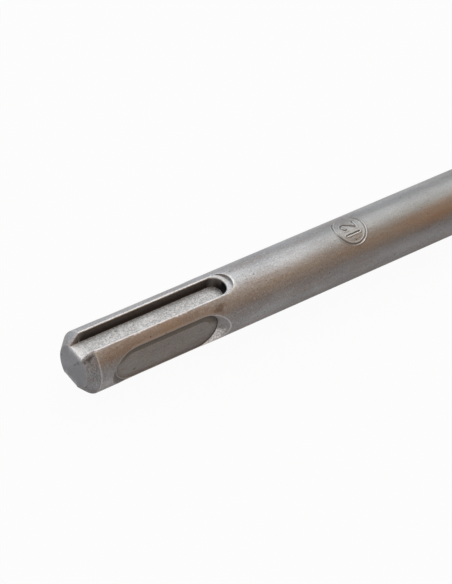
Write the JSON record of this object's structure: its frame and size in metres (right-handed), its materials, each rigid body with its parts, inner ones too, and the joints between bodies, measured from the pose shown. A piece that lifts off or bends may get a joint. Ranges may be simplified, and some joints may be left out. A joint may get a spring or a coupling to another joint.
{
  "type": "sds plus drill bit",
  "caption": "Masonry hammer drill bit: round shank with open drive slots and closed lock pockets, smooth neck, helical flutes and a brazed carbide tip.",
  "frame": {"origin": "centre of the flat face at the struck end of the shank", "axes": "+X along the bit's axis towards the point, +Z out of one drive slot, +Y and -Y out of the locking pockets; the bit lies flat"},
  "size_m": [0.2099, 0.012, 0.0112],
  "materials": {
    "steel": "blasted steel, matte to satin, a little stained",
    "carbide": "ground carbide, dark satin"
  },
  "bodies": {
    "root": {"steel_body": "steel", "carbide_tip": "carbide"}
  },
  "joints": []
}
